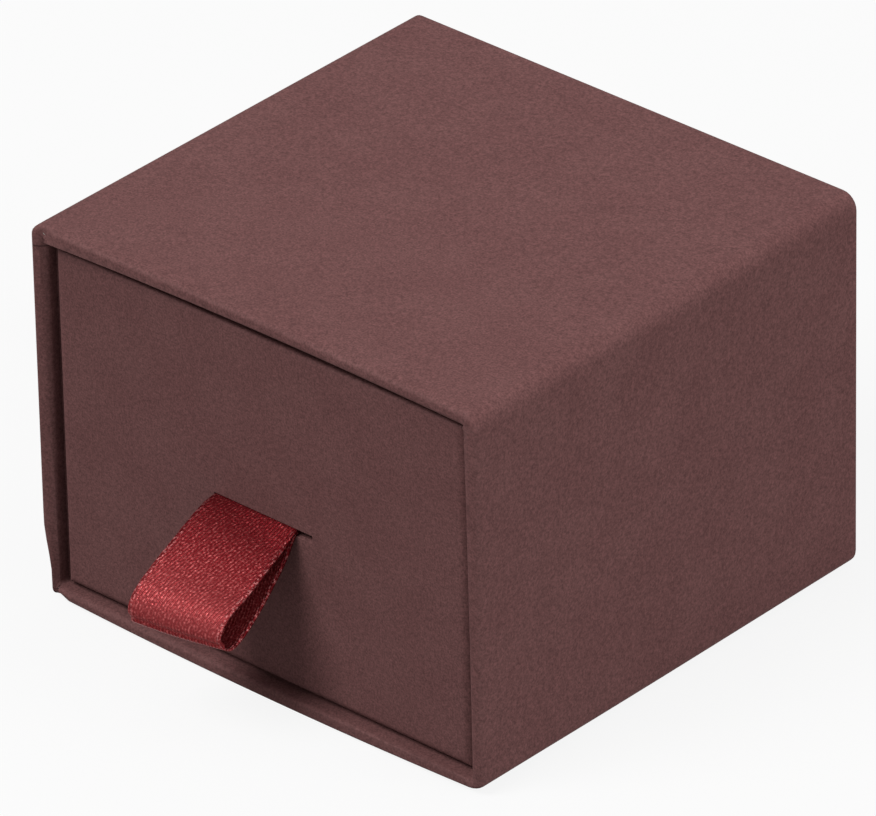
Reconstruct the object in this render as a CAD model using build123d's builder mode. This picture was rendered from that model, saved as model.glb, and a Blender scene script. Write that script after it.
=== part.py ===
from build123d import *
import os

# A small rigid gift box: a drawer with a ribbon pull, in a paper-covered sleeve.
# Millimetres. Origin at the centre of the sleeve's underside, +Z up, the drawer
# opens towards -Y, and +X is to the right of someone who faces the drawer.

# --- Sleeve: overall size over its paper -------------------------------------
sleeve_width = 65.0
sleeve_depth = 63.0
sleeve_height = 47.5

# --- Materials ---------------------------------------------------------------
sleeve_board = 1.4  # greyboard of the sleeve
drawer_board = 1.4  # greyboard of the drawer
paper = 0.15  # covering and lining paper
tape = 0.1  # gummed corner tape, pressed flush into the board

# --- Edges of the boards, under the paper ------------------------------------
folded_edge_radius = 1.85  # the two right-hand edges, where one board is folded
butted_edge_radius = 0.85  # the two left-hand edges, where boards are butted
mouth_edge_round = 0.3  # both edges of every board end at the mouth
drawer_corner_radius = 0.65  # the drawer's four upright corners
drawer_rim_round = 0.3  # the paper's own rounding along rim and base

# --- Paper that is turned over an edge ----------------------------------------
mouth_turn_in = 12.0  # into the sleeve's mouth
back_turn_over = 12.0  # round the edge of the back board
base_turn_under = 12.0  # round the sleeve's lower edges
rim_turn_in = 12.0  # down inside the drawer
drawer_turn_under = 8.0  # round the drawer's lower edges

# --- Corner tape --------------------------------------------------------------
tape_reach = 10.0  # along each board from the corner
tape_end_gap = 4.0  # from each end of the corner

# --- How the drawer sits in the sleeve ----------------------------------------
front_recess = 1.4  # drawer front behind the sleeve's mouth
side_clearance = 0.3
under_clearance = 0.2
top_clearance = 0.4
back_clearance = 0.3

# --- Ribbon pull ----------------------------------------------------------------
ribbon_width = 12.0
ribbon_thickness = 0.3
ribbon_middle = -1.1  # it lies towards the slot's left end
slot_level = 22.1  # slot's middle above the table
slot_end_clearance = 1.2  # each end, with the ribbon in the middle
slot_lip_clearance = 0.2  # above and below its two layers
tail_length = 10.0  # of each ribbon end, glued up or down inside the front
anchor_margin = 2.0  # anchor tape past the tails, all round
root_gap = 0.4  # loop's root in front of the drawer's paper

# The loop's outer outline, as distances out from the drawer's paper and up from the
# slot's middle: a fat teardrop that droops towards its folded end.
upper_bend = (10.2, -4.8)
upper_bend_radius = 12.0
lower_bend = (2.4, -3.5)
lower_bend_radius = 5.0
end_centre = (11.0, -8.4)
end_half_height = 2.15
end_round = 2.1
end_slope = 42.0  # degrees below level

# --- Worked out: sleeve -----------------------------------------------------------
sleeve_front = -sleeve_depth / 2
sleeve_back = sleeve_depth / 2
sleeve_side = sleeve_width / 2
sleeve_wall = 2 * paper + sleeve_board
sleeve_under_lining = paper + sleeve_board
cavity_side = sleeve_side - sleeve_wall
cavity_floor = sleeve_wall
cavity_ceiling = sleeve_height - sleeve_wall
cavity_back = sleeve_back - sleeve_wall

# --- Worked out: drawer -----------------------------------------------------------
drawer_wall = 2 * paper + drawer_board
drawer_under_lining = paper + drawer_board
drawer_side = cavity_side - side_clearance
drawer_front = sleeve_front + front_recess
drawer_back = cavity_back - back_clearance
drawer_base = cavity_floor + under_clearance
drawer_rim = cavity_ceiling - top_clearance
drawer_length = drawer_back - drawer_front
drawer_middle = (drawer_back + drawer_front) / 2
tray_side = drawer_side - drawer_wall
tray_front = drawer_front + drawer_wall
tray_back = drawer_back - drawer_wall
tray_floor = drawer_base + drawer_wall

# --- Worked out: ribbon -------------------------------------------------------------
ribbon_left = ribbon_middle - ribbon_width / 2
ribbon_right = ribbon_middle + ribbon_width / 2
slot_width = ribbon_width + 2 * slot_end_clearance
slot_height = 2 * (ribbon_thickness + slot_lip_clearance)
front_inner_face = drawer_front + drawer_under_lining

# Planes that the outlines are drawn on: seen from the front, from above, from the right.
sleeve_section = Plane(
    origin=(0, sleeve_front, sleeve_height / 2), x_dir=(1, 0, 0), z_dir=(0, -1, 0)
)
drawer_plan = Plane(origin=(0, drawer_middle, drawer_base))
ribbon_section = Plane(
    origin=(ribbon_left, drawer_front, slot_level),
    x_dir=(0, -1, 0),
    z_dir=(-1, 0, 0),
)


def block(x, y, z, mode=Mode.ADD):
    """Add or cut a box that spans the given ranges."""
    spans = (x, y, z)
    with Locations(tuple(sum(span) / 2 for span in spans)):
        Box(*(abs(span[1] - span[0]) for span in spans), mode=mode)


def cut(*pieces):
    """Cut finished pieces out of the one being built, so that they fit it exactly."""
    for piece in pieces:
        add(piece.part, mode=Mode.SUBTRACT)


def sleeve_outline(depth_below_board):
    """The sleeve's outline at a depth below the boards' outer faces, seen from the front."""
    inset = paper + depth_below_board
    outline = Rectangle(sleeve_width - 2 * inset, sleeve_height - 2 * inset)
    corners = outline.vertices().group_by(Axis.X)
    fillet(corners[-1], folded_edge_radius - depth_below_board)
    fillet(corners[0], butted_edge_radius - depth_below_board)


def drawer_outline(depth_below_board):
    """The drawer's outline at a depth below the boards' outer faces, seen from above."""
    inset = paper + depth_below_board
    outline = Rectangle(2 * (drawer_side - inset), drawer_length - 2 * inset)
    fillet(outline.vertices(), drawer_corner_radius - depth_below_board)


def save(piece, name):
    piece.part.label = name
    export_step(piece.part, f"parts/{name}.step")


os.makedirs("parts", exist_ok=True)

# ================================ Sleeve ==========================================

# Gummed tape along the two butted edges on the left.
with BuildPart() as sleeve_corner_tapes:
    with BuildSketch(sleeve_section.offset(-paper - tape_end_gap)):
        sleeve_outline(0)
        with BuildSketch(mode=Mode.SUBTRACT):
            sleeve_outline(tape)
        reach = (
            -sleeve_side + paper + tape_reach / 2,
            sleeve_height / 2 - paper - tape_reach / 2,
        )
        with Locations(reach, (reach[0], -reach[1])):
            Rectangle(tape_reach, tape_reach, mode=Mode.INTERSECT)
    extrude(amount=-(sleeve_depth - 2 * (paper + tape_end_gap)))

# One board, scored and folded: top, right side and bottom.
with BuildPart() as sleeve_folded_board:
    with BuildSketch(sleeve_section.offset(-paper)):
        sleeve_outline(0)
        with Locations((-sleeve_under_lining, 0)):
            Rectangle(
                sleeve_width,
                sleeve_height - 2 * sleeve_under_lining,
                mode=Mode.SUBTRACT,
            )
    extrude(amount=-(sleeve_depth - 2 * paper))
    fillet(edges().group_by(Axis.Y)[0], mouth_edge_round)
    cut(sleeve_corner_tapes)

# The left side, butted between the top and the bottom.
with BuildPart() as sleeve_left_board:
    block(
        (-sleeve_side + paper, -sleeve_side + sleeve_under_lining),
        (sleeve_front + paper, sleeve_back - paper),
        (sleeve_under_lining, sleeve_height - sleeve_under_lining),
    )
    fillet(edges().filter_by(Axis.Z).group_by(Axis.Y)[0], mouth_edge_round)
    cut(sleeve_corner_tapes)

# The closed back, set inside the ends of the four sides.
with BuildPart() as sleeve_back_board:
    block(
        (-sleeve_side + sleeve_under_lining, sleeve_side - sleeve_under_lining),
        (sleeve_back - sleeve_under_lining, sleeve_back - paper),
        (sleeve_under_lining, sleeve_height - sleeve_under_lining),
    )

# The sheet on the back, inside the turned-over edge of the wrap.
with BuildPart() as sleeve_back_sheet:
    block(
        (-sleeve_side + back_turn_over, sleeve_side - back_turn_over),
        (sleeve_back - paper, sleeve_back),
        (back_turn_over, sleeve_height - back_turn_over),
    )

# The sheet that the box stands on, inside the turned-under edge of the wrap.
with BuildPart() as sleeve_base_sheet:
    block(
        (-sleeve_side + base_turn_under, sleeve_side - base_turn_under),
        (sleeve_front + base_turn_under, sleeve_back - base_turn_under),
        (0, paper),
    )

# The lining of the four sides, from the turned-in edge back.
with BuildPart() as sleeve_lining:
    lining_depth = (sleeve_front + mouth_turn_in, cavity_back + paper)
    block(
        (-cavity_side - paper, cavity_side + paper),
        lining_depth,
        (cavity_floor - paper, cavity_ceiling + paper),
    )
    block(
        (-cavity_side, cavity_side),
        lining_depth,
        (cavity_floor, cavity_ceiling),
        mode=Mode.SUBTRACT,
    )

# The lining of the back.
with BuildPart() as sleeve_back_lining:
    block(
        (-cavity_side, cavity_side),
        (cavity_back, cavity_back + paper),
        (cavity_floor, cavity_ceiling),
    )

# The covering paper, turned into the mouth, over the back and under the base.
with BuildPart() as sleeve_wrap:
    with BuildSketch(sleeve_section):
        sleeve_outline(-paper)
    extrude(amount=-sleeve_depth)
    block(
        (-cavity_side, cavity_side),
        (sleeve_front, cavity_back),
        (cavity_floor, cavity_ceiling),
        mode=Mode.SUBTRACT,
    )
    fillet(edges().group_by(Axis.Y)[0], mouth_edge_round + paper)
    cut(sleeve_folded_board, sleeve_left_board, sleeve_back_board, sleeve_corner_tapes)
    cut(sleeve_back_sheet, sleeve_base_sheet, sleeve_lining, sleeve_back_lining)

# ================================ Ribbon ==========================================

# The loop that is pulled: one strap, folded at its end, with both layers in the slot.
with BuildPart() as ribbon_loop:
    with BuildSketch(ribbon_section):
        with BuildLine():
            ahead = Vector(end_half_height, 0).rotate(Axis.Z, -end_slope)
            across = Vector(end_half_height, 0).rotate(Axis.Z, 90 - end_slope)
            outline = FilletPolyline(
                (root_gap, ribbon_thickness),
                upper_bend,
                Vector(end_centre) + ahead + across,
                Vector(end_centre) + ahead - across,
                lower_bend,
                (root_gap, -ribbon_thickness),
                radius=[upper_bend_radius, end_round, end_round, lower_bend_radius],
            )
            Line(outline @ 1, outline @ 0)
        make_face()
        offset(amount=-ribbon_thickness, mode=Mode.SUBTRACT)
    extrude(amount=-ribbon_width)

# The same ribbon from the slot inwards: two layers through the front, then one end
# glued upwards and the other downwards on the front board's inner face.
tail_face = front_inner_face - tape
with BuildPart() as ribbon_tails:
    block(
        (ribbon_left, ribbon_right),
        (drawer_front, tail_face),
        (slot_level - ribbon_thickness, slot_level + ribbon_thickness),
    )
    block(
        (ribbon_left, ribbon_right),
        (tail_face - ribbon_thickness, tail_face),
        (slot_level - tail_length, slot_level + tail_length),
    )

# Gummed tape over both tails, flush with the front board's inner face.
with BuildPart() as ribbon_anchor_tape:
    anchor_half_height = tail_length + anchor_margin
    block(
        (ribbon_left - anchor_margin, ribbon_right + anchor_margin),
        (tail_face, front_inner_face),
        (slot_level - anchor_half_height, slot_level + anchor_half_height),
    )

# ================================ Drawer ==========================================

# Gummed tape round the four upright corners.
with BuildPart() as drawer_corner_tapes:
    with BuildSketch(drawer_plan.offset(paper + tape_end_gap)):
        drawer_outline(0)
        with BuildSketch(mode=Mode.SUBTRACT):
            drawer_outline(tape)
        with GridLocations(
            2 * (drawer_side - paper) - tape_reach,
            drawer_length - 2 * paper - tape_reach,
            2,
            2,
        ):
            Rectangle(tape_reach, tape_reach, mode=Mode.INTERSECT)
    extrude(amount=drawer_rim - drawer_base - 2 * (paper + tape_end_gap))

board_top = drawer_rim - paper
board_foot = drawer_base + paper
end_board_width = (-drawer_side + paper, drawer_side - paper)

# The front, which the ribbon passes through.
with BuildPart() as drawer_front_board:
    block(end_board_width, (drawer_front + paper, front_inner_face), (board_foot, board_top))
    fillet(edges().filter_by(Axis.Z).group_by(Axis.Y)[0], drawer_corner_radius)
    block(
        (-slot_width / 2, slot_width / 2),
        (drawer_front, front_inner_face),
        (slot_level - slot_height / 2, slot_level + slot_height / 2),
        mode=Mode.SUBTRACT,
    )
    cut(drawer_corner_tapes, ribbon_tails, ribbon_anchor_tape)

with BuildPart() as drawer_back_board:
    block(
        end_board_width,
        (drawer_back - drawer_under_lining, drawer_back - paper),
        (board_foot, board_top),
    )
    fillet(edges().filter_by(Axis.Z).group_by(Axis.Y)[-1], drawer_corner_radius)
    cut(drawer_corner_tapes)

side_board_depth = (drawer_front + drawer_under_lining, drawer_back - drawer_under_lining)

with BuildPart() as drawer_left_board:
    block(
        (-drawer_side + paper, -drawer_side + drawer_under_lining),
        side_board_depth,
        (board_foot, board_top),
    )
    cut(drawer_corner_tapes)

with BuildPart() as drawer_right_board:
    block(
        (drawer_side - drawer_under_lining, drawer_side - paper),
        side_board_depth,
        (board_foot, board_top),
    )
    cut(drawer_corner_tapes)

# The bottom, set inside the four walls.
with BuildPart() as drawer_bottom_board:
    block(
        (-drawer_side + drawer_under_lining, drawer_side - drawer_under_lining),
        side_board_depth,
        (board_foot, board_foot + drawer_board),
    )

# The sheet under the drawer, inside the turned-under edge of its wrap.
with BuildPart() as drawer_base_sheet:
    block(
        (-drawer_side + drawer_turn_under, drawer_side - drawer_turn_under),
        (drawer_front + drawer_turn_under, drawer_back - drawer_turn_under),
        (drawer_base, board_foot),
    )

# The lining of the four walls, from the turned-in rim down.
with BuildPart() as drawer_wall_lining:
    lining_height = (tray_floor - paper, drawer_rim - rim_turn_in)
    block(
        (-tray_side - paper, tray_side + paper),
        (tray_front - paper, tray_back + paper),
        lining_height,
    )
    block(
        (-tray_side, tray_side),
        (tray_front, tray_back),
        lining_height,
        mode=Mode.SUBTRACT,
    )

with BuildPart() as drawer_floor_lining:
    block(
        (-tray_side, tray_side),
        (tray_front, tray_back),
        (tray_floor - paper, tray_floor),
    )

# The covering paper, with its slot, turned in over the rim and under the base.
with BuildPart() as drawer_wrap:
    with BuildSketch(drawer_plan):
        drawer_outline(-paper)
    extrude(amount=drawer_rim - drawer_base)
    block(
        (-tray_side, tray_side),
        (tray_front, tray_back),
        (tray_floor, drawer_rim),
        mode=Mode.SUBTRACT,
    )
    fillet(edges().group_by(Axis.Z)[0] + edges().group_by(Axis.Z)[-1], drawer_rim_round)
    block(
        (-slot_width / 2, slot_width / 2),
        (drawer_front, front_inner_face),
        (slot_level - slot_height / 2, slot_level + slot_height / 2),
        mode=Mode.SUBTRACT,
    )
    cut(drawer_front_board, drawer_back_board, drawer_left_board, drawer_right_board)
    cut(drawer_bottom_board, drawer_corner_tapes, ribbon_tails, ribbon_anchor_tape)
    cut(drawer_base_sheet, drawer_wall_lining, drawer_floor_lining)

# ================================ Files ===========================================

save(sleeve_folded_board, "sleeve_folded_board")
save(sleeve_left_board, "sleeve_left_board")
save(sleeve_back_board, "sleeve_back_board")
save(sleeve_corner_tapes, "sleeve_corner_tapes")
save(sleeve_wrap, "sleeve_wrap")
save(sleeve_back_sheet, "sleeve_back_sheet")
save(sleeve_base_sheet, "sleeve_base_sheet")
save(sleeve_lining, "sleeve_lining")
save(sleeve_back_lining, "sleeve_back_lining")
save(drawer_front_board, "drawer_front_board")
save(drawer_back_board, "drawer_back_board")
save(drawer_left_board, "drawer_left_board")
save(drawer_right_board, "drawer_right_board")
save(drawer_bottom_board, "drawer_bottom_board")
save(drawer_corner_tapes, "drawer_corner_tapes")
save(drawer_wrap, "drawer_wrap")
save(drawer_base_sheet, "drawer_base_sheet")
save(drawer_wall_lining, "drawer_wall_lining")
save(drawer_floor_lining, "drawer_floor_lining")
save(ribbon_tails, "ribbon_tails")
save(ribbon_anchor_tape, "ribbon_anchor_tape")
save(ribbon_loop, "ribbon_loop")
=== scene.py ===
import math

import bmesh
import bpy
from mathutils import Matrix, Vector


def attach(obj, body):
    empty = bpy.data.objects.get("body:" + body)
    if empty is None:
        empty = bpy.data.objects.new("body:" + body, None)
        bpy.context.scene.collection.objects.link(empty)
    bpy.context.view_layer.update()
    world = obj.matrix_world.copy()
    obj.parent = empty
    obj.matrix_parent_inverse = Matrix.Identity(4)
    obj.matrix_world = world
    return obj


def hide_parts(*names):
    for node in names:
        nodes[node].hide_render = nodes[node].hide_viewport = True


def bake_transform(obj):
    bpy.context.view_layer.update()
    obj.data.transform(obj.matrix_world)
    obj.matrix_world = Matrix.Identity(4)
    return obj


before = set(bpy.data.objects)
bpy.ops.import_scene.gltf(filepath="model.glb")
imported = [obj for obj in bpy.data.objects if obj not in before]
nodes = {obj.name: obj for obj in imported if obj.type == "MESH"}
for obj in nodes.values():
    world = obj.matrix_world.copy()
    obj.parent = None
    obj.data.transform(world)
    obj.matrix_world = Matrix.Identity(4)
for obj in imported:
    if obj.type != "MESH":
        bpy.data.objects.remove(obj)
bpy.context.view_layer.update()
scene = bpy.context.scene
mm = 0.001
print("frame loaded")


# camera, fitted to the photograph
camera = {
    "azimuth": 42.3703,
    "elevation": 30.6861,
    "roll": -1.1769,
    "distance": 1217.417,
    "aim": (0, 0, 24),
    "aside": (-1.1052, -1.5111),  # mm to the camera's right and up
    "lens": 453.99,
    "sensor": 36,
}


def placeCamera(s):
    a, e, roll = (math.radians(s[k]) for k in ("azimuth", "elevation", "roll"))
    back = Vector((math.sin(a) * math.cos(e), -math.cos(a) * math.cos(e), math.sin(e)))
    level = Vector((math.cos(a), math.sin(a), 0))
    above = back.cross(level)
    right = level * math.cos(roll) + above * math.sin(roll)
    up = above * math.cos(roll) - level * math.sin(roll)
    data = bpy.data.cameras.new("camera")
    data.lens = s["lens"]
    data.sensor_width = s["sensor"]
    data.clip_start, data.clip_end = 0.05, 20
    view = bpy.data.objects.new("camera", data)
    scene.collection.objects.link(view)
    place = Vector(s["aim"]) + back * s["distance"] + right * s["aside"][0] + up * s["aside"][1]
    view.matrix_world = Matrix.Translation(place * mm) @ Matrix((right, up, back)).transposed().to_4x4()
    scene.camera = view


placeCamera(camera)
scene.view_settings.view_transform = "Standard"
print("camera placed")


# floor, backdrop and soft light
studio = {
    "floorHalf": 3.0,
    "floorColour": (0.30, 0.30, 0.30),
    "floorSeen": (0.80, 0.80, 0.80),
    "backdrop": (0.978, 0.978, 0.978),
    "shadowShare": 0.10,
    "sky": 0.26,
    # each lamp: where it hangs, its power and its size
    "lamps": {
        "frontLight": ((-0.40, -1.10, 1.55), 27.5, 1.0),
        "sideLight": ((1.40, 0.30, 0.55), 11.5, 0.9),
        "topLight": ((0.10, 0.25, 1.50), 3.0, 1.4),
    },
}


def areaLight(name, place, power, size):
    data = bpy.data.lights.new(name, "AREA")
    data.shape = "DISK"
    data.energy = power
    data.size = size
    lamp = bpy.data.objects.new(name, data)
    scene.collection.objects.link(lamp)
    lamp.location = place
    lamp.rotation_euler = (Vector(place) - Vector((0, 0, 0.02))).to_track_quat("Z", "Y").to_euler()


def seenRays(tree):
    # 1 for the rays that show the backdrop, 0 for those that carry its light
    path = tree.nodes.new("ShaderNodeLightPath")
    total = path.outputs["Is Camera Ray"]
    for ray in ("Is Glossy Ray", "Is Transmission Ray"):
        either = tree.nodes.new("ShaderNodeMath")
        either.operation = "MAXIMUM"
        tree.links.new(total, either.inputs[0])
        tree.links.new(path.outputs[ray], either.inputs[1])
        total = either.outputs[0]
    return total


def mixShaders(tree, factor, first, second):
    node = tree.nodes.new("ShaderNodeMixShader")
    if isinstance(factor, float):
        node.inputs[0].default_value = factor
    else:
        tree.links.new(factor, node.inputs[0])
    tree.links.new(first, node.inputs[1])
    tree.links.new(second, node.inputs[2])
    return node.outputs[0]


def plainShader(tree, kind, colour, strength=None):
    node = tree.nodes.new(kind)
    node.inputs["Color"].default_value = (*colour, 1)
    if strength is not None:
        node.inputs["Strength"].default_value = strength
    return node.outputs[0]


def buildStudio(s):
    world = bpy.data.worlds.new("studio")
    scene.world = world
    world.use_nodes = True
    tree = world.node_tree
    tree.nodes.clear()
    soft = plainShader(tree, "ShaderNodeBackground", (1, 1, 1), s["sky"])
    seen = plainShader(tree, "ShaderNodeBackground", s["backdrop"], 1)
    out = tree.nodes.new("ShaderNodeOutputWorld")
    tree.links.new(mixShaders(tree, seenRays(tree), soft, seen), out.inputs["Surface"])

    bm = bmesh.new()
    bmesh.ops.create_grid(bm, x_segments=1, y_segments=1, size=s["floorHalf"])
    mesh = bpy.data.meshes.new("floor")
    bm.to_mesh(mesh)
    bm.free()
    floor = bpy.data.objects.new("floor", mesh)
    scene.collection.objects.link(floor)
    material = bpy.data.materials.new("paleFloor")
    material.use_nodes = True
    tree = material.node_tree
    tree.nodes.clear()
    dim = plainShader(tree, "ShaderNodeBsdfDiffuse", s["floorColour"])
    shaded = plainShader(tree, "ShaderNodeBsdfDiffuse", s["floorSeen"])
    glow = plainShader(tree, "ShaderNodeEmission", s["backdrop"], 1)
    seen = mixShaders(tree, s["shadowShare"], glow, shaded)
    out = tree.nodes.new("ShaderNodeOutputMaterial")
    tree.links.new(mixShaders(tree, seenRays(tree), dim, seen), out.inputs["Surface"])
    mesh.materials.append(material)

    for name, (place, power, size) in s["lamps"].items():
        areaLight(name, place, power, size)


buildStudio(studio)
print("studio lit")


# small helpers for node trees
def startMaterial(name):
    material = bpy.data.materials.new(name)
    material.use_nodes = True
    tree = material.node_tree
    return material, tree, tree.nodes["Principled BSDF"]


def feed(tree, socket, value):
    if isinstance(value, bpy.types.NodeSocket):
        tree.links.new(value, socket)
    elif isinstance(value, tuple) and len(value) == 3 and len(socket.default_value) == 4:
        socket.default_value = (*value, 1)
    else:
        socket.default_value = value


def maths(tree, operation, a, b=0.0, c=0.0):
    node = tree.nodes.new("ShaderNodeMath")
    node.operation = operation
    for socket, value in zip(node.inputs, (a, b, c)):
        feed(tree, socket, value)
    return node.outputs[0]


def remap(tree, value, low, high, toLow=0.0, toHigh=1.0, smooth=True):
    node = tree.nodes.new("ShaderNodeMapRange")
    node.interpolation_type = "SMOOTHSTEP" if smooth else "LINEAR"
    for key, number in zip(("Value", "From Min", "From Max", "To Min", "To Max"),
                           (value, low, high, toLow, toHigh)):
        feed(tree, node.inputs[key], number)
    return node.outputs["Result"]


def blendColours(tree, factor, a, b, mode="MIX"):
    node = tree.nodes.new("ShaderNodeMix")
    node.data_type = "RGBA"
    node.blend_type = mode
    feed(tree, node.inputs[0], factor)
    feed(tree, node.inputs[6], a)
    feed(tree, node.inputs[7], b)
    return node.outputs[2]


def noiseAt(tree, where, scale, detail=2.0, roughness=0.5):
    node = tree.nodes.new("ShaderNodeTexNoise")
    feed(tree, node.inputs["Vector"], where)
    node.inputs["Scale"].default_value = scale
    node.inputs["Detail"].default_value = detail
    node.inputs["Roughness"].default_value = roughness
    return node.outputs["Fac"]


def millimetres(tree, source="Object", stretch=(1, 1, 1)):
    place = tree.nodes.new("ShaderNodeTexCoord")
    mapping = tree.nodes.new("ShaderNodeMapping")
    mapping.inputs["Scale"].default_value = [1000 * part for part in stretch]
    tree.links.new(place.outputs[source], mapping.inputs["Vector"])
    return mapping.outputs["Vector"]


def attributeOf(tree, name):
    node = tree.nodes.new("ShaderNodeAttribute")
    node.attribute_name = name
    return node.outputs["Fac"]


def bump(tree, shader, height, distance, strength=1.0):
    node = tree.nodes.new("ShaderNodeBump")
    node.inputs["Strength"].default_value = strength
    node.inputs["Distance"].default_value = distance
    feed(tree, node.inputs["Height"], height)
    tree.links.new(node.outputs["Normal"], shader.inputs["Normal"])


# covering and lining papers: an even tone, a fine felt grain, folds a little lighter, partly rubbed wear
# and partly a painted highlight on the rounded edges
coveringPaper = {
    "colour": (0.143, 0.0635, 0.0615),
    "deep": (0.133, 0.0575, 0.0560),
    "rubbedAndLit": (0.235, 0.130, 0.126),
    "rubAndHighlight": 0.16,
    "grainDepth": 0.30,
    "feltDepth": 0.13,
    "roughness": 0.80,
    "relief": 0.000030,
    "specular": 0.14,
    "mottlePitch": 0.16,  # patterns to a millimetre, here and below
    "feltPitch": 1.7,
    "grainPitch": 4.2,
    "seamCover": 0.85,
    "seamShade": 0.18,
}
liningPaper = dict(coveringPaper, colour=(0.118, 0.051, 0.049), deep=(0.108, 0.045, 0.044), rubAndHighlight=0.08)


def paperMaterial(name, s):
    material, tree, shader = startMaterial(name)
    where = millimetres(tree)
    mottle = noiseAt(tree, where, s["mottlePitch"], 3, 0.5)
    felt = noiseAt(tree, where, s["feltPitch"], 2, 0.5)
    grain = noiseAt(tree, where, s["grainPitch"], 2, 0.6)
    tone = blendColours(tree, remap(tree, mottle, 0.3, 0.7), s["deep"], s["colour"])
    light = remap(tree, grain, 0.3, 0.7, 1 - s["grainDepth"], 1 + s["grainDepth"], smooth=False)
    patch = remap(tree, felt, 0.3, 0.7, 1 - s["feltDepth"], 1 + s["feltDepth"], smooth=False)
    shade = tree.nodes.new("ShaderNodeCombineXYZ")
    strength = maths(tree, "MULTIPLY", light, patch)
    for socket in shade.inputs:
        tree.links.new(strength, socket)
    tone = blendColours(tree, 1.0, tone, shade.outputs[0], "MULTIPLY")
    # painted highlight with some real wear: the folds are lightened where their rounded edges catch the
    # light
    worn = maths(tree, "MULTIPLY", attributeOf(tree, "fold"), remap(tree, felt, 0.3, 0.7, 0.4, 1.0))
    tone = blendColours(tree, maths(tree, "MULTIPLY", worn, s["rubAndHighlight"]), tone, s["rubbedAndLit"])
    # painted shade: the seam mask darkens the paper where the step at the seam would shadow it
    seam = maths(tree, "MULTIPLY", attributeOf(tree, "seam"), s["seamCover"])
    tone = blendColours(tree, seam, tone, tuple(part * s["seamShade"] for part in s["deep"]))
    feed(tree, shader.inputs["Base Color"], tone)
    shader.inputs["Roughness"].default_value = s["roughness"]
    shader.inputs["Specular IOR Level"].default_value = s["specular"]
    bump(tree, shader, maths(tree, "ADD", grain, felt), s["relief"])
    return material


# greyboard: grey pulp with darker and lighter flecks
greyBoard = {"colour": (0.36, 0.34, 0.31), "fleck": (0.17, 0.155, 0.14), "pale": (0.52, 0.50, 0.46)}


def boardMaterial(name, s):
    material, tree, shader = startMaterial(name)
    where = millimetres(tree)
    pulp = noiseAt(tree, where, 0.9, 4, 0.6)
    fleck = noiseAt(tree, where, 2.6, 2, 0.5)
    fibre = noiseAt(tree, millimetres(tree, stretch=(0.35, 3.0, 3.0)), 1.3, 2, 0.5)
    tone = blendColours(tree, remap(tree, pulp, 0.3, 0.7, 0, 0.6), s["colour"], s["pale"])
    tone = blendColours(tree, remap(tree, fleck, 0.62, 0.74, 0, 0.8), tone, s["fleck"])
    tone = blendColours(tree, remap(tree, fibre, 0.60, 0.72, 0, 0.4), tone, s["fleck"])
    feed(tree, shader.inputs["Base Color"], tone)
    shader.inputs["Roughness"].default_value = 0.92
    shader.inputs["Specular IOR Level"].default_value = 0.2
    bump(tree, shader, maths(tree, "ADD", pulp, fibre), 0.00005)
    return material


# gummed tape: tan kraft with fibres along it
gummedTape = {"colour": (0.46, 0.29, 0.155), "dark": (0.33, 0.20, 0.10)}


def tapeMaterial(name, s):
    material, tree, shader = startMaterial(name)
    fibre = noiseAt(tree, millimetres(tree, stretch=(3.0, 3.0, 0.4)), 1.6, 3, 0.6)
    cloud = noiseAt(tree, millimetres(tree), 0.5, 3, 0.5)
    tone = blendColours(tree, remap(tree, fibre, 0.35, 0.7), s["colour"], s["dark"])
    tone = blendColours(tree, remap(tree, cloud, 0.4, 0.7, 0, 0.4), tone, s["dark"])
    feed(tree, shader.inputs["Base Color"], tone)
    shader.inputs["Roughness"].default_value = 0.55
    bump(tree, shader, fibre, 0.00003)
    return material


# satin ribbon: a coarse twill across it, stitched edges, by its own map in millimetres
satin = {
    "width": 12.0,
    "length": 56.7,
    "slotAt": 11.6,  # where it leaves the slot, from each end
    # painted shade: slotShade and shadeReach darken the strip towards the slot, where the drawer front
    # shades it
    "slotShade": 0.68,
    "shadeReach": 9.0,
    # painted highlight: glow brightens the strip just before its fold, where the satin's sheen falls
    "glow": (17.4, 26.4, 29.0, 0.17),  # along the strip: from, full, gone, and how much
    "colour": (0.225, 0.020, 0.024),
    "deep": (0.080, 0.004, 0.006),
    "bright": (0.50, 0.120, 0.118),
    "edge": (0.50, 0.19, 0.19),
    "metallic": 0.42,
    "edgeTint": (0.55, 0.10, 0.10),
    "twillPitch": 0.42,
    "twillSlope": 0.25,
    "twillWander": 0.45,
    "edgeBand": 0.50,
    "roughness": 0.32,
    "relief": 0.00006,
}


def stretched(tree, vector, scale):
    node = tree.nodes.new("ShaderNodeMapping")
    node.inputs["Scale"].default_value = scale
    tree.links.new(vector, node.inputs["Vector"])
    return node.outputs["Vector"]


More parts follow.
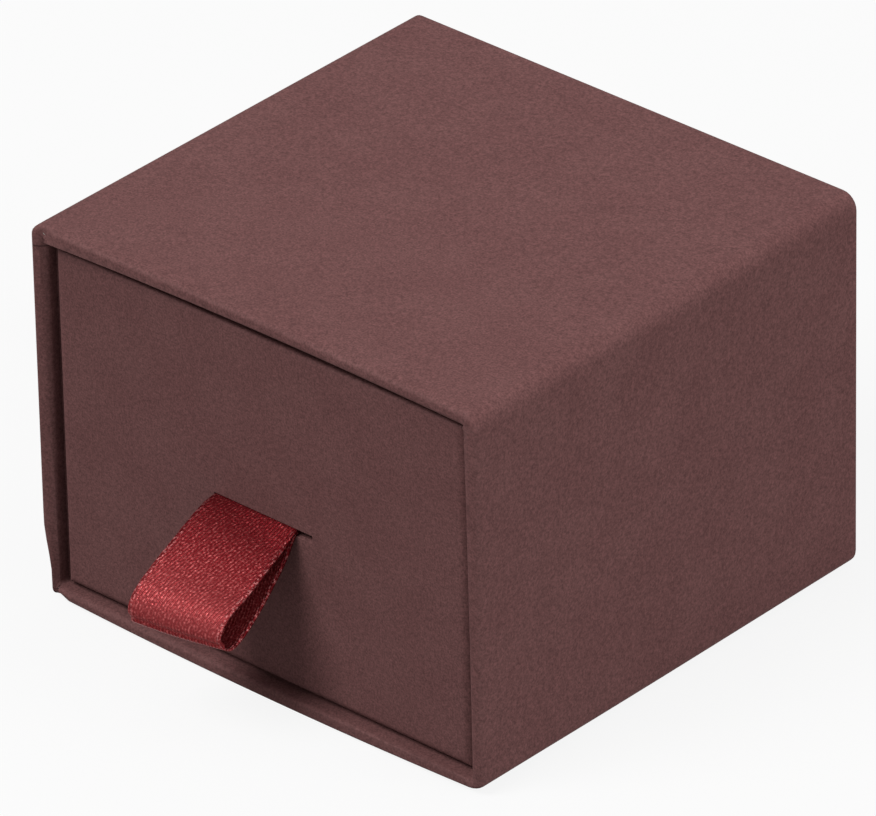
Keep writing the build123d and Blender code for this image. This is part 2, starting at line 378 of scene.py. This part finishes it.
def ribbonMaterial(name, s):
    material, tree, shader = startMaterial(name)
    where = tree.nodes.new("ShaderNodeUVMap")
    where.uv_map = "cloth"
    parts = tree.nodes.new("ShaderNodeSeparateXYZ")
    tree.links.new(where.outputs["UV"], parts.inputs[0])
    across, along = parts.outputs["X"], parts.outputs["Y"]
    streak = noiseAt(tree, stretched(tree, where.outputs["UV"], (1.0, 3.2, 1.0)), 1.0, 2, 0.6)
    speck = noiseAt(tree, stretched(tree, where.outputs["UV"], (3.4, 3.4, 1.0)), 1.0, 1, 0.5)
    slant = maths(tree, "MULTIPLY_ADD", along, s["twillSlope"], across)
    slant = maths(tree, "MULTIPLY_ADD", streak, s["twillWander"], slant)
    turn = maths(tree, "MULTIPLY", slant, 2 * math.pi / s["twillPitch"])
    twill = maths(tree, "MULTIPLY_ADD", maths(tree, "SINE", turn), 0.5, 0.5)

    tone = blendColours(tree, maths(tree, "MULTIPLY", twill, 0.5), s["colour"], s["deep"])
    lift = maths(tree, "MULTIPLY", remap(tree, speck, 0.45, 0.70), maths(tree, "SUBTRACT", 1.3, twill))
    tone = blendColours(tree, maths(tree, "MULTIPLY", lift, 0.7), tone, s["bright"])
    tone = blendColours(tree, remap(tree, speck, 0.45, 0.28, 0, 0.5), tone, s["deep"])
    fromMiddle = maths(tree, "ABSOLUTE", maths(tree, "SUBTRACT", across, s["width"] / 2))
    half = s["width"] / 2
    rim = remap(tree, fromMiddle, half - s["edgeBand"], half - s["edgeBand"] + 0.15)
    lit = maths(tree, "MULTIPLY", rim, remap(tree, speck, 0.50, 0.62))
    tone = blendColours(tree, maths(tree, "MULTIPLY", lit, 0.7), tone, s["edge"])
    fromEnd = maths(tree, "MINIMUM", along, maths(tree, "SUBTRACT", s["length"], along))
    # painted shade near the slot
    paintedSlotShade = remap(tree, fromEnd, s["slotAt"], s["slotAt"] + s["shadeReach"], s["slotShade"], 0.0)
    tone = blendColours(tree, paintedSlotShade, tone, s["deep"])
    start, full, gone, most = s["glow"]
    # painted highlight before the fold
    paintedFoldHighlight = maths(tree, "MULTIPLY", remap(tree, along, start, full, 0.0, most),
                  remap(tree, along, full, gone, 1.0, 0.0))
    tone = blendColours(tree, paintedFoldHighlight, tone, s["bright"])
    feed(tree, shader.inputs["Base Color"], tone)
    shader.inputs["Roughness"].default_value = s["roughness"]
    shader.inputs["Metallic"].default_value = s["metallic"]
    shader.inputs["Specular IOR Level"].default_value = 0.05
    shader.inputs["Specular Tint"].default_value = (*s["edgeTint"], 1)
    height = maths(tree, "ADD", twill, maths(tree, "MULTIPLY", speck, 0.9))
    height = maths(tree, "ADD", height, maths(tree, "MULTIPLY", rim, 1.2))
    bump(tree, shader, height, s["relief"])
    return material


paperOutside = paperMaterial("coveringPaper", coveringPaper)
paperInside = paperMaterial("liningPaper", liningPaper)
boardFinish = boardMaterial("greyboard", greyBoard)
tapeFinish = tapeMaterial("gummedTape", gummedTape)
ribbonFinish = ribbonMaterial("satinRibbon", satin)
print("materials made")


# shared shaping, all in millimetres until a piece is finished
def smoothStep(x):
    x = min(max(x, 0.0), 1.0)
    return x * x * (3 - 2 * x)


def addRing(bm, low, high, height, leftRound, rightRound):
    # one rounded outline lying flat at its height, as a loop of edges
    corners = bmesh.ops.create_grid(bm, x_segments=1, y_segments=1, size=0.5)["verts"]
    middle = ((low[0] + high[0]) / 2, (low[1] + high[1]) / 2, height)
    bmesh.ops.scale(bm, vec=(high[0] - low[0], high[1] - low[1], 1), verts=corners)
    bmesh.ops.translate(bm, vec=middle, verts=corners)
    for corner in list(corners):
        radius = leftRound if corner.co.x < middle[0] else rightRound
        bmesh.ops.bevel(bm, geom=[corner], offset=radius, offset_type="OFFSET", segments=6,
                        profile=0.5, affect="VERTICES", material=-1, clamp_overlap=False)
    bm.faces.ensure_lookup_table()
    face = bm.faces[0]
    edges = list(face.edges)
    bmesh.ops.delete(bm, geom=[face], context="FACES_ONLY")
    return edges


def paperTube(rings, creases):
    # a sheet led round from ring to ring; creases gives the radius of each rounded fold
    # the rings are joined while they lie well apart, and then take their own heights
    bm = bmesh.new()
    apart = 60
    loops = [addRing(bm, low, high, index * apart, left, right)
             for index, (low, high, height, left, right) in enumerate(rings)]
    for first, second in zip(loops, loops[1:]):
        bmesh.ops.bridge_loops(bm, edges=first + second)
    for vert in bm.verts:
        vert.co.z = rings[round(vert.co.z / apart)][2]
    for index, radius in creases.items():
        bmesh.ops.bevel(bm, geom=loops[index], offset=radius, offset_type="OFFSET", segments=4,
                        profile=0.5, affect="EDGES", material=-1, clamp_overlap=False)
    return bm


def sliceAt(bm, axis, places):
    for place in places:
        point, normal = Vector(), Vector()
        point[axis] = place
        normal[axis] = 1
        bmesh.ops.bisect_plane(bm, geom=bm.verts[:] + bm.edges[:] + bm.faces[:], dist=1e-5,
                               plane_co=point, plane_no=normal)


def evenly(low, high, step):
    count = max(1, round((high - low) / step))
    return [low + (high - low) * i / count for i in range(1, count)]


def faceOut(bm, direction):
    # turn the sheet so that its face furthest along a direction looks that way
    bmesh.ops.recalc_face_normals(bm, faces=bm.faces)
    furthest = max(bm.faces, key=lambda f: f.calc_center_median().dot(direction) + f.calc_area() * 1e-4)
    if furthest.normal.dot(direction) < 0:
        bmesh.ops.reverse_faces(bm, faces=bm.faces)


def markOn(bm, name, amount):
    layer = bm.verts.layers.float.new(name)
    for vert in bm.verts:
        vert[layer] = amount(vert.co)


def markFolds(bm, nearness, reach=0.6):
    markOn(bm, "fold", lambda co: smoothStep(1 - nearness(co) / reach))


def finishPiece(bm, name, material, smooth=True):
    bmesh.ops.scale(bm, vec=(mm, mm, mm), verts=bm.verts)
    mesh = bpy.data.meshes.new(name)
    bm.to_mesh(mesh)
    bm.free()
    mesh.materials.append(material)
    for polygon in mesh.polygons:
        polygon.use_smooth = smooth
    piece = bpy.data.objects.new(name, mesh)
    scene.collection.objects.link(piece)
    return piece


def thicken(piece, thickness, offset=-1.0):
    solid = piece.modifiers.new("thickness", "SOLIDIFY")
    solid.thickness = thickness * mm
    solid.offset = offset
    solid.use_rim = True


def weighNormals(piece):
    weighted = piece.modifiers.new("shading", "WEIGHTED_NORMAL")
    weighted.weight = 60
    weighted.keep_sharp = True


def clampRound(a, b, radius, reach):
    # a and b run back from a corner's two faces; what lies past the rounding is drawn in
    fromCentre = Vector((radius - a, radius - b))
    if min(fromCentre) > 0 and fromCentre.length > reach:
        fromCentre.length = reach
    return radius - fromCentre.x, radius - fromCentre.y


def mergedCopy(node):
    bm = bmesh.new()
    bm.from_mesh(nodes[node].data)
    bmesh.ops.remove_doubles(bm, verts=bm.verts, dist=1e-7)
    bmesh.ops.scale(bm, vec=(1000, 1000, 1000), verts=bm.verts)
    bmesh.ops.dissolve_limit(bm, angle_limit=math.radians(0.4), verts=bm.verts, edges=bm.edges)
    return bm


# sleeve
sleeve = {
    "halfWidth": 32.5,
    "halfDepth": 31.5,
    "height": 47.5,
    "wall": 1.7,
    "paper": 0.15,
    "leftRound": 1.2,
    "rightRound": 2.0,
    "innerRound": 0.5,
    "outerFold": 0.45,
    "innerFold": 0.72,
    "turnIn": 12.0,
    "grid": 1.8,
    "baseGap": 0.10,  # the wrap above the floor, by the base sheet's thickness
    "liningStart": 2.2,  # from the mouth
    "liningProud": 0.10,
    "seamLevel": 44.9,  # where the top's turned-in paper ends on the left lip
    "seamHalf": 0.12,
    "seamCut": 0.14,
}
sleeveBow = {
    "topLift": 0.55,
    "topStart": 34.0,
    "reach": 38.0,
    "noseDrop": 0.30,
    "noseReach": 1.5,
    "noseEnds": 0.4,  # share of the nose's drop that the lip's two ends keep
    "footLift": 0.45,
    "footForward": 0.40,
    "footReach": 9.0,
    "footTop": 7.0,
    "leftTuck": 0.95,
    "leftTuckTop": 10.0,
    "leftTuckFull": 2.8,
    "leftTuckReach": 16.0,
    "leftLean": 0.80,
    "leanReach": 1.7,
    "leanFade": 0.3,
}


def bowSleeve(co, s=sleeve, b=sleeveBow):
    # the real board is a little sprung: its mouth arches up, its foot spreads forward, and the
    # left side's front edge leans back and is worn in at the foot
    half, wall = s["halfWidth"], s["wall"]
    across = max(0.0, 1 - (co.x / half) ** 2)
    depth = max(0.0, co.y + s["halfDepth"])
    mouthward = max(0.0, 1 - depth / b["reach"]) ** 2
    high = smoothStep((co.z - b["topStart"]) / (s["height"] - wall - b["topStart"]))
    skin = smoothStep((co.z - (s["height"] - wall)) / wall)
    nose = max(0.0, 1 - depth / b["noseReach"]) ** 2
    low = smoothStep(1 - co.z / wall)
    leftward = smoothStep((-co.x - half + wall) / wall)
    nose *= b["noseDrop"] * skin * (b["noseEnds"] + (1 - b["noseEnds"]) * across)
    lift = b["topLift"] * across * mouthward * high - nose
    lift += b["footLift"] * (1 - across) * mouthward * low
    forward = b["footForward"] * across * max(0.0, 1 - depth / b["footReach"]) ** 2
    forward *= smoothStep(1 - co.z / b["footTop"])
    tuck = b["leftTuck"] * smoothStep((b["leftTuckTop"] - co.z) / (b["leftTuckTop"] - b["leftTuckFull"]))
    tuck *= leftward * max(0.0, 1 - depth / b["leftTuckReach"])
    onLip = smoothStep((wall - half - co.x) / b["leanFade"] + 1)
    inner = min(1.0, max(0.0, (co.x + half) / wall))
    lean = b["leftLean"] * onLip * inner ** 2 * max(0.0, 1 - depth / b["leanReach"])
    co.x += tuck
    co.y += lean - forward
    co.z += lift


def sleeveFoldNearness(co, s=sleeve):
    inner = s["halfWidth"] - s["wall"]
    sides = s["halfWidth"] - abs(co.x)
    mouth = co.y + s["halfDepth"]
    ends = min(co.z, s["height"] - co.z)
    outer = [sides, mouth, s["halfDepth"] - co.y, ends]
    if mouth < 0.6 or min(sides, ends) > 1.2:
        outer += [abs(inner - abs(co.x)), abs(co.z - s["wall"]),
                  abs(co.z - (s["height"] - s["wall"]))]
    return sorted(outer)[1]


def sleeveSeam(co, s=sleeve):
    # painted shade: the dark line where the top's paper ends on the left lip, standing in for the shadow in
    # the step there
    onLip = co.x < -s["halfWidth"] + s["wall"] + 0.4 and co.y < -s["halfDepth"] + 2
    return smoothStep(1 - abs(co.z - s["seamLevel"]) / s["seamHalf"]) if onLip else 0.0


def sleeveRing(inset, mouthDistance, s=sleeve):
    # drawn lying on its back: the ring's y is the sleeve's z, its height the way to the mouth
    half = s["halfWidth"]
    left, right = (max(s[k] - inset, s["innerRound"]) for k in ("leftRound", "rightRound"))
    return ((-half + inset, inset), (half - inset, s["height"] - inset),
            s["halfDepth"] - mouthDistance, left, right)


def sliceSleeve(bm, s=sleeve):
    half, deep, edge = s["halfWidth"], s["halfDepth"], 1.0
    seam = [s["seamLevel"] + step * s["seamCut"] for step in (-1, 0, 1)]
    sliceAt(bm, 0, evenly(-half, half, s["grid"]) + [-half + edge, half - edge])
    sliceAt(bm, 1, evenly(-deep, deep, s["grid"]) + [-deep + edge, deep - edge])
    sliceAt(bm, 2, evenly(0, s["height"], s["grid"]) + [edge, s["height"] - edge] + seam)


def standUp(bm):
    bmesh.ops.rotate(bm, cent=(0, 0, 0), matrix=Matrix.Rotation(math.pi / 2, 3, "X"), verts=bm.verts)


def buildSleeveWrap(s=sleeve):
    depth = 2 * s["halfDepth"]
    rings = [sleeveRing(s["wall"], s["turnIn"]), sleeveRing(s["wall"], 0), sleeveRing(0, 0),
             sleeveRing(0, depth), sleeveRing(s["turnIn"], depth)]
    bm = paperTube(rings, {1: s["innerFold"], 2: s["outerFold"], 3: s["outerFold"]})
    standUp(bm)
    sliceSleeve(bm)
    faceOut(bm, Vector((0, 0, 1)))
    markFolds(bm, sleeveFoldNearness)
    markOn(bm, "seam", sleeveSeam)
    for vert in bm.verts:
        vert.co.z += s["baseGap"] * smoothStep(1 - vert.co.z / s["wall"])
        bowSleeve(vert.co)
    piece = finishPiece(bm, "sleeveWrap", paperOutside)
    thicken(piece, s["paper"] - 0.02)
    weighNormals(piece)
    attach(piece, "sleeve")
    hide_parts("sleeve_wrap")


def buildSleeveLining(s=sleeve):
    inner = s["wall"] + s["liningProud"]
    end = 2 * s["halfDepth"] - s["wall"] + 0.05
    bm = paperTube([sleeveRing(inner, s["liningStart"]), sleeveRing(inner, end)], {})
    standUp(bm)
    sliceSleeve(bm)
    faceOut(bm, Vector((0, 0, 1)))
    bmesh.ops.reverse_faces(bm, faces=bm.faces)
    markFolds(bm, lambda co: max(0.0, co.y + s["halfDepth"] - s["liningStart"]) + 0.3)
    for vert in bm.verts:
        bowSleeve(vert.co)
    piece = finishPiece(bm, "sleeveLining", paperInside)
    thicken(piece, s["liningProud"] - 0.01)
    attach(piece, "sleeve")
    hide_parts("sleeve_lining")


def easeLeft(co, s=sleeve):
    # the board's two butted edges are worn round under the paper
    radius = s["leftRound"]
    reach = radius - s["paper"]
    aside, fromTop = clampRound(co.x + s["halfWidth"], s["height"] - co.z, radius, reach)
    aside, fromFoot = clampRound(aside, s["height"] - fromTop, radius, reach)
    co.x, co.z = aside - s["halfWidth"], fromFoot


def bowedCopy(node, name, material):
    bm = mergedCopy(node)
    sliceSleeve(bm)
    for step in (0.3, 0.5, 0.75, 1.2):
        sliceAt(bm, 0, [step - sleeve["halfWidth"]])
        sliceAt(bm, 2, [step, sleeve["height"] - step])
    for vert in bm.verts:
        easeLeft(vert.co)
        vert.co.z += sleeve["baseGap"] * smoothStep(1 - vert.co.z / sleeve["wall"])
        bowSleeve(vert.co)
    piece = finishPiece(bm, name, material, smooth=False)
    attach(piece, "sleeve")
    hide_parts(node)


def flatSheet(low, high, height, thickness, corner):
    # a cut sheet lying flat, its corners eased, its thickness below its height
    bm = bmesh.new()
    loop = addRing(bm, low, high, height, corner, corner)
    bmesh.ops.contextual_create(bm, geom=loop)
    sliceAt(bm, 0, evenly(low[0], high[0], 5.0))
    sliceAt(bm, 1, evenly(low[1], high[1], 5.0))
    lower = bmesh.ops.extrude_face_region(bm, geom=bm.faces[:])["geom"]
    moved = [part for part in lower if isinstance(part, bmesh.types.BMVert)]
    bmesh.ops.translate(bm, vec=(0, 0, -thickness), verts=moved)
    bmesh.ops.recalc_face_normals(bm, faces=bm.faces)
    return bm


buildSleeveWrap()
buildSleeveLining()
bowedCopy("sleeve_folded_board", "sleeveFoldedBoard", boardFinish)
bowedCopy("sleeve_left_board", "sleeveLeftBoard", boardFinish)
bowedCopy("sleeve_corner_tapes", "sleeveCornerTapes", tapeFinish)
print("sleeve made")


# drawer
drawer = {
    "side": 30.15,
    "front": -30.5,
    "back": 29.5,
    "base": 1.9,
    "rim": 45.10,
    "wall": 1.7,
    "paper": 0.15,
    "frontAsDrawn": -30.1,  # the CAD's front; the real one stands a little further out
    "forwardUntil": -29.0,
    "cornerRound": 0.8,
    "innerRound": 0.5,
    "footFold": 0.50,
    "rimFold": 0.42,
    "turnIn": 12.0,
    "turnUnder": 8.0,
    "grid": 2.7,
    "slotLevel": 22.35,
    "slotAsDrawn": 22.1,  # the CAD's slot, in the board
    "slotDrawnHalf": (7.3, 0.6),
    "slotMiddle": 0.25,
    "slotHalf": (7.2, 0.42),
    "slotTurn": 1.35,
    "footRound": 1.35,  # of the front's lower edge
    "frontRound": 1.35,  # of the front's two upright edges
    "slotRound": 0.10,
    "baseGap": 0.08,
    "liningBelowRim": 2.5,
    "liningProud": 0.10,
    "tailsMiddle": -0.8,
    "tailsHalf": (7.1, 10.7),
    "tailsProud": 0.14,
}


def drawerRing(inset, height, s=drawer):
    radius = max(s["cornerRound"] - inset, s["innerRound"])
    front = s["frontAsDrawn"] if inset else s["front"]
    return ((-s["side"] + inset, front + inset), (s["side"] - inset, s["back"] - inset),
            height, radius, radius)


def drawerFoldNearness(co, s=drawer):
    outer = [s["side"] - abs(co.x), co.y - s["front"], s["back"] - co.y, co.z - s["base"], s["rim"] - co.z]
    if s["rim"] - co.z < 0.6 or min(outer[:3]) > 1.5:
        outer += [abs(s["side"] - s["wall"] - abs(co.x)), abs(co.y - s["frontAsDrawn"] - s["wall"]),
                  abs(s["back"] - s["wall"] - co.y)]
    slot = math.hypot(max(abs(co.x - s["slotMiddle"]) - s["slotHalf"][0], 0),
                      max(abs(co.z - s["slotLevel"]) - s["slotHalf"][1], 0))
    if co.y < s["front"] + 1:
        outer += [slot + 0.35]
    return sorted(outer)[1]


def easeDrawer(co, depth, s=drawer):
    # the front's edges are worn round; depth is how far under the paper's face the piece starts
    side = s["side"]
    ahead, aside = clampRound(co.y - s["front"], side - abs(co.x), s["frontRound"], s["frontRound"] - depth)
    co.x = math.copysign(side - aside, co.x)
    ahead, up = clampRound(ahead, co.z - s["base"], s["footRound"], s["footRound"] - depth)
    co.y, co.z = s["front"] + ahead, s["base"] + up


def sliceEdges(bm, s=drawer):
    for share in (0.1, 0.25, 0.4, 0.55, 0.7, 0.85, 1.0):
        upright, foot = share * s["frontRound"], share * s["footRound"]
        sliceAt(bm, 1, [s["front"] + foot])
        sliceAt(bm, 0, [-s["side"] + upright, s["side"] - upright])
        sliceAt(bm, 2, [s["base"] + foot])


def easedCopy(node, name, material, s=drawer):
    # the CAD's board or tape, its front part moved out and its edges drawn in under the paper
    bm = mergedCopy(node)
    for vert in bm.verts:
        vert.co.x = min(max(vert.co.x, -s["side"] + s["paper"]), s["side"] - s["paper"])
        vert.co.z = min(vert.co.z, s["rim"] - s["paper"])
        if vert.co.y < s["forwardUntil"]:
            vert.co.y += s["front"] - s["frontAsDrawn"]
            wide, high = s["slotDrawnHalf"]
            if abs(vert.co.x) < wide and abs(vert.co.z - s["slotAsDrawn"]) < high:
                vert.co.x += s["slotMiddle"]
                vert.co.z += s["slotLevel"] - s["slotAsDrawn"]
    sliceEdges(bm)
    for vert in bm.verts:
        easeDrawer(vert.co, s["paper"])
    piece = finishPiece(bm, name, material, smooth=False)
    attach(piece, "drawer")
    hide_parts(node)


def sliceDrawer(bm, s=drawer):
    edge = 1.0
    sliceAt(bm, 0, evenly(-s["side"], s["side"], s["grid"]) + [-s["side"] + edge, s["side"] - edge])
    sliceAt(bm, 1, evenly(s["front"], s["back"], s["grid"]) + [s["front"] + edge, s["back"] - edge])
    sliceAt(bm, 2, evenly(s["base"], s["rim"], s["grid"]) + [s["base"] + edge, s["rim"] - edge])


def cutSlot(bm, s=drawer):
    # the paper is slit for the ribbon and its edges turned into the slot
    wide, high = s["slotHalf"]
    sliceAt(bm, 0, [s["slotMiddle"] + part for part in (-wide - 0.8, -wide, wide, wide + 0.8)])
    sliceAt(bm, 2, [s["slotLevel"] + part for part in (-high - 0.8, -high, high, high + 0.8)])

    def inSlot(co):
        return (co.y < s["front"] + 0.01 and abs(co.x - s["slotMiddle"]) < wide
                and abs(co.z - s["slotLevel"]) < high)

    gone = [face for face in bm.faces if inSlot(face.calc_center_median())]
    bmesh.ops.delete(bm, geom=gone, context="FACES")
    rim = [edge for edge in bm.edges if edge.is_boundary
           and all(abs(v.co.x - s["slotMiddle"]) < wide + 0.01
                   and abs(v.co.z - s["slotLevel"]) < high + 0.01
                   and v.co.y < s["front"] + 0.01 for v in edge.verts)]
    turned = bmesh.ops.extrude_edge_only(bm, edges=rim)["geom"]
    inward = [part for part in turned if isinstance(part, bmesh.types.BMVert)]
    bmesh.ops.translate(bm, vec=(0, s["slotTurn"], 0), verts=inward)
    bmesh.ops.bevel(bm, geom=rim, offset=s["slotRound"], offset_type="OFFSET", segments=3,
                    profile=0.5, affect="EDGES", material=-1, clamp_overlap=False)


def buildDrawerWrap(s=drawer):
    rings = [drawerRing(s["turnUnder"], s["base"]), drawerRing(0, s["base"]), drawerRing(0, s["rim"]),
             drawerRing(s["wall"], s["rim"]), drawerRing(s["wall"], s["rim"] - s["turnIn"])]
    bm = paperTube(rings, {1: s["footFold"], 2: s["rimFold"], 3: s["rimFold"]})
    sliceDrawer(bm)
    sliceEdges(bm)
    cutSlot(bm)
    faceOut(bm, Vector((0, 0, 1)))
    markFolds(bm, drawerFoldNearness)
    for vert in bm.verts:
        easeDrawer(vert.co, 0)
        vert.co.z += s["baseGap"] * smoothStep(1 - (vert.co.z - s["base"]) / 1.5)
    piece = finishPiece(bm, "drawerWrap", paperOutside)
    thicken(piece, s["paper"] - 0.02)
    weighNormals(piece)
    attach(piece, "drawer")
    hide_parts("drawer_wrap")


def buildDrawerLining(s=drawer):
    inner = s["wall"] + s["liningProud"]
    top = s["rim"] - s["liningBelowRim"]
    wide, high = s["tailsHalf"]
    bm = paperTube([drawerRing(inner, s["base"] + s["wall"]), drawerRing(inner, top)], {})
    sliceDrawer(bm)
    sliceAt(bm, 0, [s["tailsMiddle"] + step for step in (-wide, 1 - wide, wide - 1, wide)])
    sliceAt(bm, 2, [s["slotLevel"] + step for step in (-high, 1 - high, high - 1, high)])
    faceOut(bm, Vector((1, 0, 0)))
    bmesh.ops.reverse_faces(bm, faces=bm.faces)
    markFolds(bm, lambda co: max(0.0, top - co.z) + 0.3)
    face = s["frontAsDrawn"] + inner
    for vert in bm.verts:
        # the ribbon's two ends show through as a slight step inside the front
        over = smoothStep(wide - abs(vert.co.x - s["tailsMiddle"]))
        over *= smoothStep(high - abs(vert.co.z - s["slotLevel"]))
        vert.co.y += s["tailsProud"] * over * smoothStep(1 - (vert.co.y - face) / 0.3)
    piece = finishPiece(bm, "drawerLining", paperInside)
    thicken(piece, s["liningProud"] - 0.01)
    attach(piece, "drawer")
    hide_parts("drawer_wall_lining")


buildDrawerWrap()
buildDrawerLining()
easedCopy("drawer_front_board", "drawerFrontBoard", boardFinish)
easedCopy("drawer_back_board", "drawerBackBoard", boardFinish)
easedCopy("drawer_left_board", "drawerLeftBoard", boardFinish)
easedCopy("drawer_right_board", "drawerRightBoard", boardFinish)
easedCopy("drawer_corner_tapes", "drawerCornerTapes", tapeFinish)
print("drawer made")


# sheets pasted on the outside, over the turned edges
pastedSheets = {
    "sleeveMargin": 2.1,
    "drawerMargin": 2.0,
    "backThickness": 0.10,
    "corner": 0.5,
}


def pasteSheet(bm, name, body, node):
    piece = finishPiece(bm, name, paperOutside, smooth=False)
    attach(piece, body)
    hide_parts(node)


def buildSheets(s=pastedSheets):
    margin, corner = s["sleeveMargin"], s["corner"]
    wide, deep = sleeve["halfWidth"] - margin, sleeve["halfDepth"] - margin
    bm = flatSheet((-wide, -deep), (wide, deep), sleeve["baseGap"], sleeve["baseGap"], corner)
    pasteSheet(bm, "sleeveBaseSheet", "sleeve", "sleeve_base_sheet")

    bm = flatSheet((-wide, margin), (wide, sleeve["height"] - margin), -sleeve["halfDepth"],
                   s["backThickness"], corner)
    standUp(bm)
    pasteSheet(bm, "sleeveBackSheet", "sleeve", "sleeve_back_sheet")

    margin = s["drawerMargin"]
    bm = flatSheet((-drawer["side"] + margin, drawer["front"] + margin),
                   (drawer["side"] - margin, drawer["back"] - margin),
                   drawer["base"] + drawer["baseGap"], drawer["baseGap"], corner)
    pasteSheet(bm, "drawerBaseSheet", "drawer", "drawer_base_sheet")


buildSheets()
print("outer sheets made")


# ribbon: one strip in at the slot, out to its fold and back, both ends turned inside
ribbon = {
    "width": 12.0,
    "middle": -0.8,
    "thickness": 0.30,
    "slotLevel": 22.40,
    "front": -30.5,
    # along each edge: distance out from the drawer's paper, height over the slot's middle
    "leftEdge": [
        (-1.7, 10.0), (-1.7, 5.0), (-1.7, 1.5), (-1.3, 0.42), (-0.7, 0.18), (0.0, 0.18),
        (1.6, -0.02), (3.4, -0.7), (5.3, -1.6), (7.3, -2.6), (9.4, -3.65), (11.1, -4.6),
        (12.7, -5.6), (13.9, -6.9), (14.15, -8.0), (13.75, -8.9), (13.6, -9.5), (12.4, -10.3),
        (10.5, -10.2), (8.6, -9.0), (6.6, -7.4), (4.3, -5.2), (2.0, -2.7), (0.6, -0.8),
        (0.0, -0.22), (-0.7, -0.18), (-1.3, -0.42), (-1.7, -1.5), (-1.7, -5.0), (-1.7, -10.0),
    ],
    "rightEdge": [
        (-1.7, 10.0), (-1.7, 5.0), (-1.7, 1.5), (-1.3, 0.42), (-0.7, 0.18), (0.0, 0.16),
        (2.1, -1.3), (3.5, -2.05), (4.8, -2.75), (6.4, -3.6), (8.3, -4.55), (9.9, -5.15),
        (11.3, -5.95), (12.2, -7.0), (12.45, -7.9), (11.95, -8.7), (11.75, -9.3), (10.6, -9.8),
        (8.9, -9.2), (7.1, -7.95), (5.6, -6.7), (4.2, -5.35), (1.9, -2.9), (0.6, -0.95),
        (0.0, -0.22), (-0.7, -0.18), (-1.3, -0.42), (-1.7, -1.5), (-1.7, -5.0), (-1.7, -10.0),
    ],
    "columns": 20,
    "rows": 260,
    "crown": 0.16,
    "flatLength": 0.0567,
}


def alongCurve(points, t):
    # a smooth line through all the points, t from 0 to 1
    place = min(max(t, 0.0), 1.0) * (len(points) - 1)
    index = min(int(place), len(points) - 2)
    f = place - index
    p = [Vector(points[min(max(index + k, 0), len(points) - 1)]) for k in (-1, 0, 1, 2)]
    return 0.5 * (2 * p[1] + (p[2] - p[0]) * f + (2 * p[0] - 5 * p[1] + 4 * p[2] - p[3]) * f ** 2
                  + (3 * p[1] - p[0] - 3 * p[2] + p[3]) * f ** 3)


def evenSteps(points, rows, count=2000):
    # the curve's own t for equal steps of length, and its whole length
    places = [alongCurve(points, i / count) for i in range(count + 1)]
    reached = [0.0]
    for a, b in zip(places, places[1:]):
        reached.append(reached[-1] + (b - a).length)
    steps, index = [], 0
    for row in range(rows + 1):
        goal = reached[-1] * row / rows
        while index < count - 1 and reached[index + 1] < goal:
            index += 1
        share = (goal - reached[index]) / (reached[index + 1] - reached[index])
        steps.append((index + share) / count)
    return steps, reached[-1]


def buildRibbon(s=ribbon):
    rows, columns = s["rows"], s["columns"]
    middleLine = [tuple((a + b) / 2 for a, b in zip(l, r)) for l, r in zip(s["leftEdge"], s["rightEdge"])]
    steps, length = evenSteps(middleLine, rows)
    bm = bmesh.new()
    bmesh.ops.create_grid(bm, x_segments=columns, y_segments=rows, size=0.5)
    cloth = bm.loops.layers.uv.new("cloth")
    for face in bm.faces:
        for loop in face.loops:
            across, along = loop.vert.co.x + 0.5, loop.vert.co.y + 0.5
            loop[cloth].uv = (across * s["width"], along * length)
    for vert in bm.verts:
        across, along = vert.co.x + 0.5, vert.co.y + 0.5
        t = steps[round(along * rows)]
        left, right = alongCurve(s["leftEdge"], t), alongCurve(s["rightEdge"], t)
        place = left.lerp(right, across)
        ahead = alongCurve(middleLine, t + 0.002) - alongCurve(middleLine, t - 0.002)
        side = Vector((-ahead.y, ahead.x)).normalized()
        # crowned a little where it is free, flat where it is glued or in the slot
        free = smoothStep((place.x - 1.0) / 5.0)
        place += side * s["crown"] * free * math.cos((across - 0.5) * math.pi)
        vert.co = (s["middle"] + (across - 0.5) * s["width"], s["front"] - place.x,
                   s["slotLevel"] + place.y)
    faceOut(bm, Vector((0, -1, 0)))
    piece = finishPiece(bm, "ribbonPull", ribbonFinish)
    thicken(piece, s["thickness"] - 0.04, 0.0)
    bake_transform(piece)
    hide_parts("ribbon_loop", "ribbon_tails")
    print("ribbon made, its strip", round(length, 2), "mm long")


buildRibbon()

# the CAD's own solids that stay in view
carriedOver = {
    "sleeve_back_board": boardFinish,
    "sleeve_back_lining": paperInside,
    "drawer_bottom_board": boardFinish,
    "drawer_floor_lining": paperInside,
    "ribbon_anchor_tape": tapeFinish,
}
for name, finish in carriedOver.items():
    nodes[name].data.materials.clear()
    nodes[name].data.materials.append(finish)
print("frame's own parts finished")
